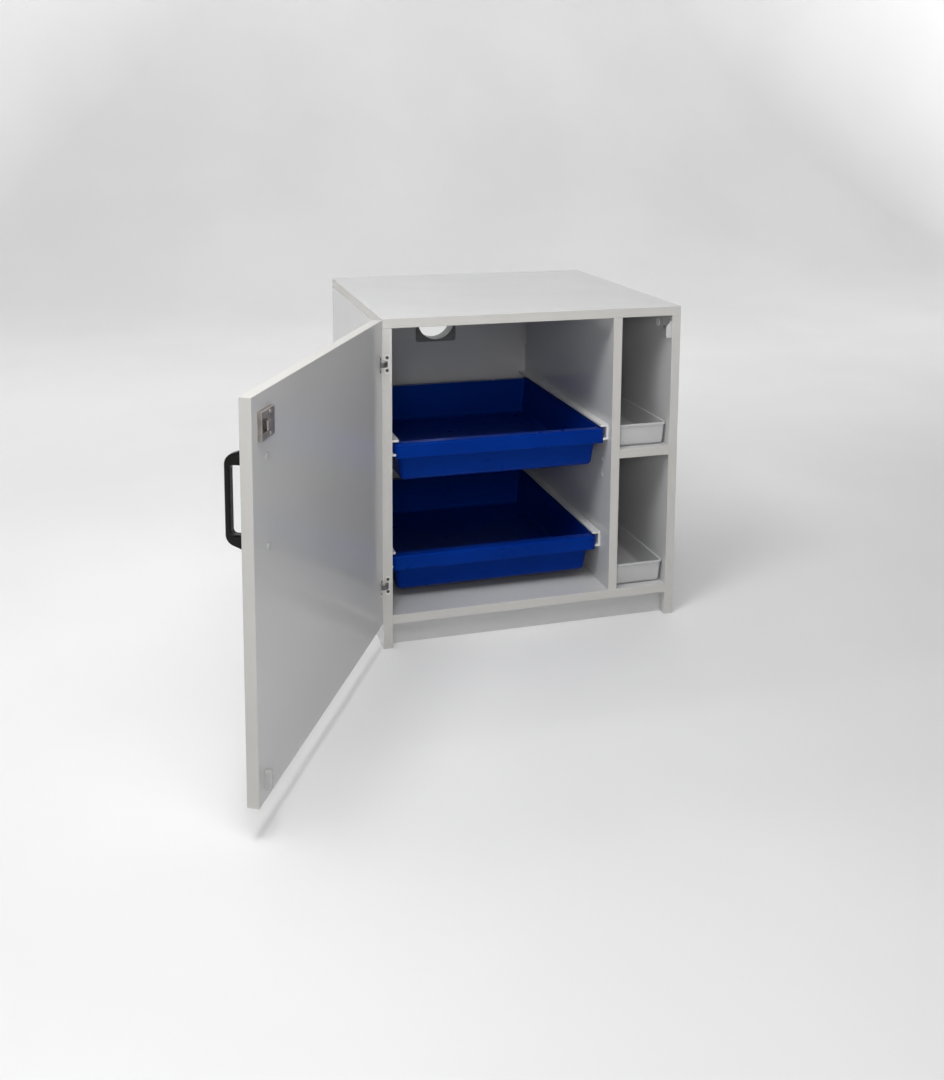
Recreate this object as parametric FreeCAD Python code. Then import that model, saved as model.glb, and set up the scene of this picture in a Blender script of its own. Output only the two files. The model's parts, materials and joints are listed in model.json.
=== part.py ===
import FreeCAD, Part
import math
import os

# Corrosive storage cabinet that stands under a laboratory bench: a coated-board carcass with one
# left-hung door, spill trays on runners, and a duct spigot in the back. The door stands open.
# Millimetres, +Z up, front towards -Y. The origin is on the floor, in the middle of the plinth
# board's underside.

V = FreeCAD.Vector
X_AXIS = V(1, 0, 0)
Y_AXIS = V(0, 1, 0)
Z_AXIS = V(0, 0, 1)

# Carcass
WIDTH = 600.0
DEPTH = 557.0
HEIGHT = 635.0
BOARD = 18.0
BAND = 1.0  # edge band thickness
PLINTH_HEIGHT = 47.0
PLINTH_SETBACK = 20.0
SIDE_BAY_WIDTH = 106.0  # clear width of the narrow right bay
SHELF_TOP = 353.0
BACK_THICK = 8.0
BACK_INSET = 22.0  # from the carcass's rear edge to the back panel
GROOVE_DEPTH = 6.0
GROOVE_PLAY = 0.3
NOTCH_DEPTH = 14.0  # air passage at the partition's upper rear corner
NOTCH_HEIGHT = 155.0

# Dowels and cam fittings
DOWEL_RADIUS = 4.0
DOWEL_LENGTH = 30.0
DOWEL_IN_FACE = 12.0  # part of a dowel that sits in the face of a board
DOWEL_INSET = 110.0  # from the front and rear of a joint
CAM_RADIUS = 7.5
CAM_DEPTH = 12.5
CAM_DISTANCE = 24.0  # from the cam's axis to the joint
CAM_INSET = 64.0
CAM_BOLT_RADIUS = 3.5
CAM_BOLT_IN_FACE = 11.0
CAM_COVER_RADIUS = 8.5
CAM_COVER_THICK = 1.4

# Hole plugs in the partition
PLUG_ROW_SETBACK = 44.5
PLUG_PITCH = 32.0
PLUG_TOP = 322.5
PLUG_HEAD_RADIUS = 4.5
PLUG_HEAD_THICK = 1.2
PLUG_STEM_RADIUS = 2.5
PLUG_STEM_LENGTH = 8.0

# Countersunk screws of the runners, hinges and spigot
SCREW_RADIUS = 2.0
SCREW_HEAD_RADIUS = 4.0
SCREW_LENGTH = 15.0

# Runners and blue spill trays
RUNNER_HEIGHT = 31.0
RUNNER_WALL = 4.0
RUNNER_FLANGE = 16.0
RUNNER_REAR_GAP = 2.0
RUNNER_SCREWS = 2
RUNNER_SCREW_INSET = 60.0
UPPER_RUNNER_Z = 370.0
UPPER_RUNNER_SETBACK = 17.0
LOWER_RUNNER_Z = 139.5
LOWER_RUNNER_SETBACK = 47.0
TRAY_REAR_GAP = 5.3  # behind the lower tray
TRAY_DEPTH = 79.5
TRAY_WALL = 3.0
TRAY_SIDE_PLAY = 3.0
TRAY_GLIDE_PLAY = 0.3
TRAY_TOP_PLAY = 3.7  # above the rim in its runner
TRAY_APRON_DROP = 9.2  # front apron below the rim's other sides
TRAY_APRON_ROUND = 1.2
TRAY_RIM_RADIUS = 12.0
TRAY_RIM_ROUND = 5.0
TRAY_SIDE_OVERHANG = 8.6
TRAY_END_OVERHANG = 16.0
TRAY_DRAFT = 9.4
TRAY_ROUND = 10.0  # the tub's upright and floor edges

# Narrow trays of the right bay
SIDE_TRAY_REAR_GAP = 39.0
SIDE_TRAY_HEIGHT = 46.0
SIDE_TRAY_SETBACK = 9.8
SIDE_TRAY_PLAY = 1.2
SIDE_TRAY_WALL = 2.5
SIDE_TRAY_LIP = 2.0
SIDE_TRAY_LIP_HEIGHT = 4.0
SIDE_TRAY_DRAFT = 1.5
SIDE_TRAY_END_DRAFT = 6.5
SIDE_TRAY_ROUND = 7.0
SIDE_TRAY_GLIDE = 0.3

# Duct spigot
DUCT_RADIUS = 45.0
DUCT_WALL = 2.5
DUCT_HUB_STEP = 1.0
DUCT_X = -63.5
DUCT_DROP = 87.0  # duct's centre below the top panel
DUCT_REACH = 8.0  # past the carcass's rear edge
DUCT_PLATE_MARGIN = 1.5  # plate past the hub
DUCT_PLATE_THICK = 3.0
DUCT_PLATE_RADIUS = 6.0
DUCT_SCREW_INSET = 8.0
DUCT_SCREW_LENGTH = 9.0

# Door
DOOR_ANGLE = 118.4  # how far it stands open
DOOR_GAP = 1.0  # between the closed door and the carcass
DOOR_SIDE_REVEAL = 0.5
DOOR_TOP_REVEAL = 2.0
DOOR_BOTTOM_RISE = 3.0  # door's lower edge above the bottom panel's underside

# Concealed hinges
HINGE_LOW_INSET = 75.5  # from the door's ends
HINGE_HIGH_INSET = 82.2
LEAF_WIDTH = 10.0
LEAF_HEIGHT = 38.0
LEAF_THICK = 2.0
LEAF_SCREW_SPACING = 24.0
LEAF_SCREW_RADIUS = 1.6
LEAF_SCREW_HEAD_RADIUS = 3.2
BARREL_HEIGHT = 16.0
BARREL_WALL = 1.1
BARREL_END_WALL = 3.0  # degrees past the end of the arm's slot
ARM_THICK = 2.0
ARM_HEIGHT = 9.0
ARM_PLAY = 0.3
ARM_HALF_ANGLE = 70.0
ARM_END_PLAY = 2.0  # degrees

# Bow handle
HANDLE_SPACING = 128.0
HANDLE_DROP = 158.5  # handle's middle below the door's top
HANDLE_INSET = 50.5  # from the door's free edge
HANDLE_PROJECTION = 43.5
HANDLE_GRIP = 8.5
HANDLE_WIDTH = 14.0
HANDLE_FOOT_HEIGHT = 27.0
HANDLE_FOOT_SLOPE = 15.5  # how much shorter the grip is than the foot line, at each end
HANDLE_INNER_SLOPE = 1.0
HANDLE_OUTER_RADIUS = 17.0
HANDLE_INNER_RADIUS = 6.0
HANDLE_EDGE_ROUND = 2.8
HANDLE_SCREW_RADIUS = 2.0
HANDLE_SCREW_BITE = 12.0
HANDLE_HEAD_RADIUS = 4.0
HANDLE_HEAD_THICK = 1.6
CAP_RADIUS = 5.2
CAP_HEIGHT = 2.4

# Rim lock and strike
LOCK_WIDTH = 46.0
LOCK_HEIGHT = 41.0
LOCK_THICK = 6.5
LOCK_WALL = 1.0
LOCK_EDGE_BEVEL = 0.8
LOCK_MOUTH_INSET = 2.5  # from the case's end
LOCK_MOUTH_PLAY = 2.5  # above and below the hook
LOCK_DROP = 29.0  # lock's centre below the top panel
LOCK_SIDE_GAP = 2.0  # to the side panel when the door is closed
LOCK_AXIS_INSET = 29.5  # cylinder's axis from the case's end
LOCK_DISC_THICK = 2.2
LOCK_SCREW_OFFSET = 15.5
LOCK_SCREW_RADIUS = 1.5
LOCK_SCREW_HEAD_RADIUS = 2.8
LOCK_SCREW_HEAD_THICK = 1.4
LOCK_SCREW_LENGTH = 16.0
BOLT_HEIGHT = 15.0
BOLT_TAIL = 12.0  # bolt's end past the cylinder's axis
BOLT_PLAY = 0.3
BOLT_THROW = 8.0
HOOK_HEIGHT = 13.0
HOOK_LENGTH = 11.0
HOOK_STEM = 3.0
HOOK_THICK = 3.0
HOOK_PLAY = 0.5
HOOK_GAP = 1.0
HOOK_ROUND = 1.2
CYLINDER_RADIUS = 8.0
ROSETTE_RADIUS = 12.0
ROSETTE_THICK = 3.0
PLUG_RADIUS = 5.0
PLUG_PLAY = 0.05
PLUG_PROUD = 0.8
KEY_SLOT_WIDTH = 1.4
KEY_SLOT_HEIGHT = 6.5
KEY_SLOT_DEPTH = 9.0
DRIVE_PIN_RADIUS = 1.5
DRIVE_PIN_PLAY = 0.45
STRIKE_REACH = 9.5
STRIKE_HEIGHT = 34.0
STRIKE_LENGTH = 34.0
STRIKE_CLEARANCE = 1.0  # behind the closed lock's case
STRIKE_SHEET = 1.2
STRIKE_ROUND = 3.0
STRIKE_SLANT = 12.0  # fall of the front leg's upper edge
STRIKE_SCREW_FIRST = 12.0
STRIKE_SCREW_PITCH = 14.0
STRIKE_HEAD_RADIUS = 3.5
STRIKE_HEAD_THICK = 1.6

# Run-up block at the door's lower free corner
RUNUP_WIDTH = 9.0
RUNUP_HEIGHT = 29.0
RUNUP_THICK = 10.0
RUNUP_INSET = 22.0  # from the door's free edge
RUNUP_PLAY = 0.4
RUNUP_RAMP = 2.5
RUNUP_ROUND = 3.5
RUNUP_SCREW_LENGTH = 22.0

# Planes that follow from the sizes above
LEFT = -WIDTH / 2
RIGHT = WIDTH / 2
LEFT_IN = LEFT + BOARD
RIGHT_IN = RIGHT - BOARD
PARTITION_R = RIGHT_IN - SIDE_BAY_WIDTH
PARTITION_L = PARTITION_R - BOARD
FRONT = -(PLINTH_SETBACK + BOARD / 2)
CORE_FRONT = FRONT + BAND
REAR = FRONT + DEPTH
BACK_FACE = REAR - BACK_INSET - BACK_THICK
TOP_UNDER = HEIGHT - BOARD
BASE_TOP = PLINTH_HEIGHT + BOARD
SHELF_UNDER = SHELF_TOP - BOARD

DOOR_IN = FRONT - DOOR_GAP
DOOR_OUT = DOOR_IN - BOARD
DOOR_LEFT = LEFT + DOOR_SIDE_REVEAL
DOOR_RIGHT = RIGHT - DOOR_SIDE_REVEAL
DOOR_BOTTOM = PLINTH_HEIGHT + DOOR_BOTTOM_RISE
DOOR_TOP = HEIGHT - DOOR_TOP_REVEAL
HINGE_AXIS = V(LEFT, FRONT - DOOR_GAP / 2, 0)
HINGE_HEIGHTS = {"lower": DOOR_BOTTOM + HINGE_LOW_INSET, "upper": DOOR_TOP - HINGE_HIGH_INSET}

TRAY_RIM_HEIGHT = RUNNER_HEIGHT - 2 * RUNNER_WALL - TRAY_GLIDE_PLAY - TRAY_TOP_PLAY
TRAY_FRONT_OFFSET = TRAY_GLIDE_PLAY + TRAY_WALL  # the apron's face in front of the runners' ends
TRAY_LENGTH = BACK_FACE - TRAY_REAR_GAP - (FRONT + LOWER_RUNNER_SETBACK - TRAY_FRONT_OFFSET)
DUCT_Z = TOP_UNDER - DUCT_DROP
DUCT_HUB_RADIUS = DUCT_RADIUS + DUCT_HUB_STEP
HANDLE_Z = DOOR_TOP - HANDLE_DROP

LOCK_Z = TOP_UNDER - LOCK_DROP
LOCK_RIGHT = RIGHT_IN - LOCK_SIDE_GAP
LOCK_X = LOCK_RIGHT - LOCK_AXIS_INSET
PIN_CIRCLE = BOLT_THROW / math.sqrt(2)
PLUG_Z = LOCK_Z - PIN_CIRCLE * (1 + math.cos(math.pi / 4)) / 2
BOLT_FRONT = DOOR_IN + LOCK_DISC_THICK + BOLT_PLAY
BOLT_REAR = DOOR_IN + LOCK_THICK - LOCK_WALL - BOLT_PLAY
STRIKE_FRONT = DOOR_IN + LOCK_THICK + STRIKE_CLEARANCE
HOOK_FRONT = STRIKE_FRONT + STRIKE_SHEET + HOOK_PLAY
HOOK_TIP = RIGHT_IN - STRIKE_REACH - HOOK_GAP


def box(x0, x1, y0, y1, z0, z1):
    return Part.makeBox(x1 - x0, y1 - y0, z1 - z0, V(x0, y0, z0))


def rod(radius, length, start, axis):
    return Part.makeCylinder(radius, length, start, axis)


def edges_at_height(shape, z):
    return [e for e in shape.Edges if abs(e.BoundBox.ZMin - z) < 1e-4 and abs(e.BoundBox.ZMax - z) < 1e-4]


def edges_along(shape, axis):
    straight = [e for e in shape.Edges if isinstance(e.Curve, Part.Line)]
    return [e for e in straight if abs(abs(e.tangentAt(e.FirstParameter).dot(axis)) - 1) < 1e-6]


def rounded_wire(x0, x1, y0, y1, radius, z):
    """Outline of a rectangle with round corners, at one height."""
    inset = radius * (1 - math.sqrt(0.5))
    corners = [
        (V(x1 - radius, y0, z), V(x1 - inset, y0 + inset, z), V(x1, y0 + radius, z)),
        (V(x1, y1 - radius, z), V(x1 - inset, y1 - inset, z), V(x1 - radius, y1, z)),
        (V(x0 + radius, y1, z), V(x0 + inset, y1 - inset, z), V(x0, y1 - radius, z)),
        (V(x0, y0 + radius, z), V(x0 + inset, y0 + inset, z), V(x0 + radius, y0, z)),
    ]
    edges = []
    for corner, following in zip(corners, corners[1:] + corners[:1]):
        edges.append(Part.Arc(*corner).toShape())
        edges.append(Part.LineSegment(corner[2], following[0]).toShape())
    return Part.Wire(edges)


def rounded_slab(x0, x1, y0, y1, radius, z0, z1):
    return Part.Face(rounded_wire(x0, x1, y0, y1, radius, z0)).extrude(V(0, 0, z1 - z0))


def tapered_tub(x0, x1, y0, y1, z0, z1, side_draft, end_draft, radius):
    """Block that is smaller by its drafts at the foot, with its upright and foot edges rounded."""
    left, right = x0 + side_draft, x1 - side_draft
    near, far = y0 + end_draft, y1 - end_draft
    head = [V(x0, y0, z1), V(x1, y0, z1), V(x1, y1, z1), V(x0, y1, z1)]
    foot = [V(left, near, z0), V(right, near, z0), V(right, far, z0), V(left, far, z0)]
    loops = [head, foot[::-1]]
    for k in range(4):
        loops.append([foot[k], foot[(k + 1) % 4], head[(k + 1) % 4], head[k]])
    faces = [Part.Face(Part.makePolygon(loop + loop[:1])) for loop in loops]
    block = Part.makeSolid(Part.makeShell(faces))
    return block.makeFillet(radius, [e for e in block.Edges if e.BoundBox.ZMin < z1 - 1e-4])


def turned(profile, base, axis):
    """Solid of revolution from (radius, height) points, with the heights counted along axis from base."""
    points = [V(radius, 0, height) for radius, height in profile]
    solid = Part.Face(Part.makePolygon(points + points[:1])).revolve(V(0, 0, 0), Z_AXIS, 360)
    solid.Placement = FreeCAD.Placement(base, FreeCAD.Rotation(Z_AXIS, axis))
    return solid


def button(radius, thick, base, axis):
    """Low round cap that stands on base, with a bevelled rim."""
    bevel = thick / 2
    profile = [(0, 0), (radius, 0), (radius, thick - bevel), (radius - bevel, thick), (0, thick)]
    return turned(profile, base, axis)


def countersunk_screw(head_point, axis, radius, head_radius, length):
    """Screw whose flat head face lies at head_point and whose shank runs along axis."""
    return turned([(0, 0), (head_radius, 0), (radius, head_radius - radius), (radius, length), (0, length)],
                  head_point, axis)


def pan_screw(seat, axis, radius, head_radius, head_thick, length):
    """Screw whose head stands on the seat, with its shank along axis."""
    return turned([(0, -head_thick), (head_radius - head_thick / 2, -head_thick), (head_radius, 0),
                   (radius, 0), (radius, length), (0, length)], seat, axis)


def fitted(board, pieces):
    """A board with a seat cut for every piece that is let into it."""
    near = [p for p in pieces if board.BoundBox.intersect(p.BoundBox)]
    return board.cut(near) if near else board


def swung(shape):
    """Turn a piece of the closed door to the angle at which the door stands."""
    piece = shape.copy()
    piece.rotate(HINGE_AXIS, Z_AXIS, -DOOR_ANGLE)
    return piece


def carcass_boards():
    groove_rear = BACK_FACE + BACK_THICK + GROOVE_PLAY
    groove = box(LEFT_IN - GROOVE_DEPTH, RIGHT_IN + GROOVE_DEPTH, BACK_FACE, groove_rear,
                 BASE_TOP - GROOVE_DEPTH, TOP_UNDER + GROOVE_DEPTH)
    back = box(LEFT_IN - GROOVE_DEPTH + GROOVE_PLAY, RIGHT_IN + GROOVE_DEPTH - GROOVE_PLAY,
               BACK_FACE, BACK_FACE + BACK_THICK,
               BASE_TOP - GROOVE_DEPTH + GROOVE_PLAY, TOP_UNDER + GROOVE_DEPTH - GROOVE_PLAY)
    partition = box(PARTITION_L, PARTITION_R, CORE_FRONT, BACK_FACE, BASE_TOP, TOP_UNDER)
    notch = box(PARTITION_L, PARTITION_R, BACK_FACE - NOTCH_DEPTH, BACK_FACE,
                TOP_UNDER - NOTCH_HEIGHT, TOP_UNDER)
    plinth_front = FRONT + PLINTH_SETBACK
    return {
        "top_panel": box(LEFT + BAND, RIGHT - BAND, CORE_FRONT, REAR, TOP_UNDER, HEIGHT).cut(groove),
        "left_side_panel": box(LEFT, LEFT_IN, CORE_FRONT, REAR, 0, TOP_UNDER).cut(groove),
        "right_side_panel": box(RIGHT_IN, RIGHT, CORE_FRONT, REAR, 0, TOP_UNDER).cut(groove),
        "bottom_panel": box(LEFT_IN, RIGHT_IN, CORE_FRONT, REAR, PLINTH_HEIGHT, BASE_TOP).cut(groove),
        "partition_panel": partition.cut(notch),
        "side_shelf": box(PARTITION_R, RIGHT_IN, CORE_FRONT, BACK_FACE, SHELF_UNDER, SHELF_TOP),
        "back_panel": back,
        "plinth_board": box(LEFT_IN, RIGHT_IN, plinth_front, plinth_front + BOARD, 0, PLINTH_HEIGHT),
    }


def carcass_bands():
    """Edge bands of the boards that show at the front, and of the top panel's ends."""
    top_front = box(LEFT, RIGHT, FRONT, CORE_FRONT, TOP_UNDER, HEIGHT)
    top_left = box(LEFT, LEFT + BAND, CORE_FRONT, REAR, TOP_UNDER, HEIGHT)
    top_right = box(RIGHT - BAND, RIGHT, CORE_FRONT, REAR, TOP_UNDER, HEIGHT)
    return {
        "top_edge_bands": Part.makeCompound([top_front, top_left, top_right]),
        "left_side_edge_band": box(LEFT, LEFT_IN, FRONT, CORE_FRONT, 0, TOP_UNDER),
        "right_side_edge_band": box(RIGHT_IN, RIGHT, FRONT, CORE_FRONT, 0, TOP_UNDER),
        "bottom_edge_band": box(LEFT_IN, RIGHT_IN, FRONT, CORE_FRONT, PLINTH_HEIGHT, BASE_TOP),
        "partition_edge_band": box(PARTITION_L, PARTITION_R, FRONT, CORE_FRONT, BASE_TOP, TOP_UNDER),
        "shelf_edge_band": box(PARTITION_R, RIGHT_IN, FRONT, CORE_FRONT, SHELF_UNDER, SHELF_TOP),
    }


def dowel(joint, into_face):
    """Dowel across a joint: joint is on the joint's plane, into_face points into the board's face."""
    return rod(DOWEL_RADIUS, DOWEL_LENGTH, joint - into_face * (DOWEL_LENGTH - DOWEL_IN_FACE), into_face)


def carcass_dowels():
    """Dowels of the partition, the shelf, the bottom panel and the plinth board."""
    rows = (FRONT + DOWEL_INSET, BACK_FACE - DOWEL_INSET)
    middle = (PARTITION_L + PARTITION_R) / 2
    shelf_z = SHELF_TOP - BOARD / 2
    base_z = BASE_TOP - BOARD / 2
    dowels = []
    for y in rows:
        dowels.append(dowel(V(middle, y, TOP_UNDER), Z_AXIS))
        dowels.append(dowel(V(middle, y, BASE_TOP), -Z_AXIS))
        dowels.append(dowel(V(PARTITION_R, y, shelf_z), -X_AXIS))
        dowels.append(dowel(V(RIGHT_IN, y, shelf_z), X_AXIS))
        dowels.append(dowel(V(LEFT_IN, y, base_z), -X_AXIS))
        dowels.append(dowel(V(RIGHT_IN, y, base_z), X_AXIS))
    for x, side in ((LEFT_IN, -X_AXIS), (RIGHT_IN, X_AXIS)):
        dowels.append(dowel(V(x, 0, PLINTH_HEIGHT / 2), side))
    return dowels


def cam_fittings():
    """Cams let into the side panels, the bolts that they draw down from the top panel, covers and seats."""
    housings = []
    bolts = []
    covers = []
    seats = []
    for y in (FRONT + CAM_INSET, BACK_FACE - CAM_INSET):
        for face_x, inwards in ((LEFT_IN, X_AXIS), (RIGHT_IN, -X_AXIS)):
            face = V(face_x, y, TOP_UNDER - CAM_DISTANCE)
            bolt_foot = face - inwards * (BOARD / 2)
            housing = rod(CAM_RADIUS, CAM_DEPTH, face, -inwards)
            bolt = rod(CAM_BOLT_RADIUS, CAM_DISTANCE + CAM_BOLT_IN_FACE, bolt_foot, Z_AXIS)
            housings.append(housing.cut(bolt))
            bolts.append(bolt)
            covers.append(button(CAM_COVER_RADIUS, CAM_COVER_THICK, face, inwards))
            seats.append(housing.fuse(bolt))
    return housings, bolts, covers, seats


def partition_plugs():
    plugs = []
    for z in (PLUG_TOP, PLUG_TOP - PLUG_PITCH):
        face = V(PARTITION_L, FRONT + PLUG_ROW_SETBACK, z)
        plugs.append(pan_screw(face, X_AXIS, PLUG_STEM_RADIUS, PLUG_HEAD_RADIUS, PLUG_HEAD_THICK,
                               PLUG_STEM_LENGTH))
    return plugs


def runner(wall_x, opening, z, setback):
    """Channel on a board face; opening is +1 where it opens towards +X and -1 towards -X."""
    tip = RUNNER_FLANGE
    wall = RUNNER_WALL
    top = RUNNER_HEIGHT
    outline = [(0, 0), (tip, 0), (tip, wall), (wall, wall), (wall, top - wall), (tip, top - wall),
               (tip, top), (0, top), (0, 0)]
    start = FRONT + setback
    length = BACK_FACE - RUNNER_REAR_GAP - start
    profile = Part.makePolygon([V(wall_x + opening * a, start, z + b) for a, b in outline])
    channel = Part.Face(profile).extrude(Y_AXIS * length)
    run = length - 2 * RUNNER_SCREW_INSET
    screws = []
    for number in range(RUNNER_SCREWS):
        y = start + RUNNER_SCREW_INSET + run * number / (RUNNER_SCREWS - 1)
        head = V(wall_x + opening * wall, y, z + top / 2)
        screws.append(countersunk_screw(head, -X_AXIS * opening, SCREW_RADIUS, SCREW_HEAD_RADIUS,
                                        SCREW_LENGTH))
    return channel.cut(screws), screws


def spill_tray(runner_z, setback):
    """Blue tray that hangs by its rim in a pair of runners; its front apron stops at their ends."""
    x0 = LEFT_IN + RUNNER_WALL + TRAY_SIDE_PLAY
    x1 = PARTITION_L - RUNNER_WALL - TRAY_SIDE_PLAY
    y0 = FRONT + setback - TRAY_FRONT_OFFSET
    y1 = y0 + TRAY_LENGTH
    rim_under = runner_z + RUNNER_WALL + TRAY_GLIDE_PLAY
    rim_top = rim_under + TRAY_RIM_HEIGHT
    apron_under = rim_under - TRAY_APRON_DROP
    inner_radius = TRAY_RIM_RADIUS - TRAY_WALL
    rim = rounded_slab(x0, x1, y0, y1, TRAY_RIM_RADIUS, rim_under, rim_top)
    rim = rim.makeFillet(TRAY_RIM_ROUND, edges_at_height(rim, rim_top))
    under_rim = rounded_slab(x0 + TRAY_WALL, x1 - TRAY_WALL, y0 + TRAY_WALL, y1 - TRAY_WALL,
                             inner_radius, rim_under, rim_top - TRAY_WALL)
    apron = rounded_slab(x0, x1, y0, y1, TRAY_RIM_RADIUS, apron_under, rim_under)
    apron = apron.makeFillet(TRAY_APRON_ROUND, edges_at_height(apron, apron_under))
    apron = apron.common(box(x0, x1, y0, y0 + TRAY_WALL, apron_under, rim_under))

    side = TRAY_SIDE_OVERHANG
    end = TRAY_END_OVERHANG
    floor = rim_top - TRAY_DEPTH
    wall = TRAY_WALL
    tub = tapered_tub(x0 + side, x1 - side, y0 + end, y1 - end, floor, rim_top - wall / 2,
                      TRAY_DRAFT, TRAY_DRAFT, TRAY_ROUND)
    inside = tapered_tub(x0 + side + wall, x1 - side - wall, y0 + end + wall, y1 - end - wall,
                         floor + wall, rim_top, TRAY_DRAFT, TRAY_DRAFT, TRAY_ROUND - wall)
    return rim.cut(under_rim).fuse([apron, tub]).cut(inside).removeSplitter()


def side_tray(board_top):
    """Narrow open tray that stands on a board of the right bay."""
    x0 = PARTITION_R + SIDE_TRAY_PLAY
    x1 = RIGHT_IN - SIDE_TRAY_PLAY
    y0 = FRONT + SIDE_TRAY_SETBACK
    y1 = BACK_FACE - SIDE_TRAY_REAR_GAP
    z0 = board_top + SIDE_TRAY_GLIDE
    z1 = z0 + SIDE_TRAY_HEIGHT
    lip = SIDE_TRAY_LIP
    wall = SIDE_TRAY_WALL
    inset = lip + wall
    rim = rounded_slab(x0, x1, y0, y1, SIDE_TRAY_ROUND + lip, z1 - SIDE_TRAY_LIP_HEIGHT, z1)
    tub = tapered_tub(x0 + lip, x1 - lip, y0 + lip, y1 - lip, z0, z1,
                      SIDE_TRAY_DRAFT, SIDE_TRAY_END_DRAFT, SIDE_TRAY_ROUND)
    inside = tapered_tub(x0 + inset, x1 - inset, y0 + inset, y1 - inset, z0 + wall, z1,
                         SIDE_TRAY_DRAFT, SIDE_TRAY_END_DRAFT, SIDE_TRAY_ROUND - wall)
    return rim.fuse(tub).cut(inside).removeSplitter()


def duct_spigot():
    """Flanged tube through the back panel: a wider hub in the panel, then the free end for a hose."""
    plate_front = BACK_FACE - DUCT_PLATE_THICK
    hub_end = BACK_FACE + BACK_THICK
    free_end = REAR + DUCT_REACH
    centre = V(DUCT_X, plate_front, DUCT_Z)
    half = DUCT_HUB_RADIUS + DUCT_PLATE_MARGIN
    plate = box(DUCT_X - half, DUCT_X + half, plate_front, BACK_FACE, DUCT_Z - half, DUCT_Z + half)
    plate = plate.makeFillet(DUCT_PLATE_RADIUS, edges_along(plate, Y_AXIS))
    hub = rod(DUCT_HUB_RADIUS, hub_end - plate_front, centre, Y_AXIS)
    tube = rod(DUCT_RADIUS, free_end - plate_front, centre, Y_AXIS)
    bore = rod(DUCT_RADIUS - DUCT_WALL, free_end - plate_front, centre, Y_AXIS)
    offset = half - DUCT_SCREW_INSET
    screws = []
    for dx in (-offset, offset):
        for dz in (-offset, offset):
            screws.append(countersunk_screw(centre + V(dx, 0, dz), Y_AXIS, SCREW_RADIUS, SCREW_HEAD_RADIUS,
                                            DUCT_SCREW_LENGTH))
    spigot = plate.fuse([hub, tube]).cut([bore] + screws).removeSplitter()
    return spigot, hub, screws


def ring_sector(r0, r1, z0, z1, a0, a1):
    """Part of a ring about the hinge axis, from angle a0 to a1, counted from +X."""
    corners = [V(r0, 0, z0), V(r1, 0, z0), V(r1, 0, z1), V(r0, 0, z1), V(r0, 0, z0)]
    face = Part.Face(Part.makePolygon(corners))
    face.rotate(V(0, 0, 0), Z_AXIS, a0)
    sector = face.revolve(V(0, 0, 0), Z_AXIS, a1 - a0)
    sector.translate(HINGE_AXIS)
    return sector


def hinge_leaf(z):
    """Leaf let into the side panel's edge: round-ended plate, barrel behind it, slot for the arm, screws."""
    arm_radius = BOARD / 2
    x = LEFT + arm_radius
    straight = (LEAF_HEIGHT - LEAF_WIDTH) / 2
    plate = box(x - LEAF_WIDTH / 2, x + LEAF_WIDTH / 2, FRONT, FRONT + LEAF_THICK, z - straight, z + straight)
    ends = [rod(LEAF_WIDTH / 2, LEAF_THICK, V(x, FRONT, z + side * straight), Y_AXIS) for side in (-1, 1)]
    slot_half = ARM_THICK / 2 + ARM_PLAY
    slot_end = ARM_HALF_ANGLE + ARM_END_PLAY
    barrel_half = slot_half + BARREL_WALL
    front_angle = math.degrees(math.asin((DOOR_GAP / 2 + LEAF_THICK / 2) / arm_radius))
    barrel = ring_sector(arm_radius - barrel_half, arm_radius + barrel_half, z - BARREL_HEIGHT / 2,
                         z + BARREL_HEIGHT / 2, front_angle, slot_end + BARREL_END_WALL)
    barrel = barrel.common(box(LEFT, LEFT_IN, FRONT, REAR, z - BARREL_HEIGHT, z + BARREL_HEIGHT))
    blank = plate.fuse(ends + [barrel]).removeSplitter()
    slot_z = ARM_HEIGHT / 2 + ARM_PLAY
    slot = ring_sector(arm_radius - slot_half, arm_radius + slot_half, z - slot_z, z + slot_z, 0, slot_end)
    screws = []
    for side in (-1, 1):
        head = V(x, FRONT, z + side * LEAF_SCREW_SPACING / 2)
        screws.append(countersunk_screw(head, Y_AXIS, LEAF_SCREW_RADIUS, LEAF_SCREW_HEAD_RADIUS,
                                        SCREW_LENGTH))
    return blank.cut([slot] + screws), screws, blank.fuse(screws)


def across_door_gap(shape):
    """The door's leaf is the side panel's leaf, mirrored across the gap of the closed door."""
    return shape.mirror(HINGE_AXIS, Y_AXIS)


def hinge_arm(z):
    """Curved arm that joins the two leaves and always stands half way between them."""
    radius = BOARD / 2
    middle = -DOOR_ANGLE / 2
    return ring_sector(radius - ARM_THICK / 2, radius + ARM_THICK / 2, z - ARM_HEIGHT / 2, z + ARM_HEIGHT / 2,
                       middle - ARM_HALF_ANGLE, middle + ARM_HALF_ANGLE)


def door_panel():
    core = box(DOOR_LEFT + BAND, DOOR_RIGHT - BAND, DOOR_OUT, DOOR_IN, DOOR_BOTTOM + BAND, DOOR_TOP - BAND)
    bands = [
        box(DOOR_LEFT, DOOR_LEFT + BAND, DOOR_OUT, DOOR_IN, DOOR_BOTTOM, DOOR_TOP),
        box(DOOR_RIGHT - BAND, DOOR_RIGHT, DOOR_OUT, DOOR_IN, DOOR_BOTTOM, DOOR_TOP),
        box(DOOR_LEFT + BAND, DOOR_RIGHT - BAND, DOOR_OUT, DOOR_IN, DOOR_BOTTOM, DOOR_BOTTOM + BAND),
        box(DOOR_LEFT + BAND, DOOR_RIGHT - BAND, DOOR_OUT, DOOR_IN, DOOR_TOP - BAND, DOOR_TOP),
    ]
    return core, bands


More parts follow.
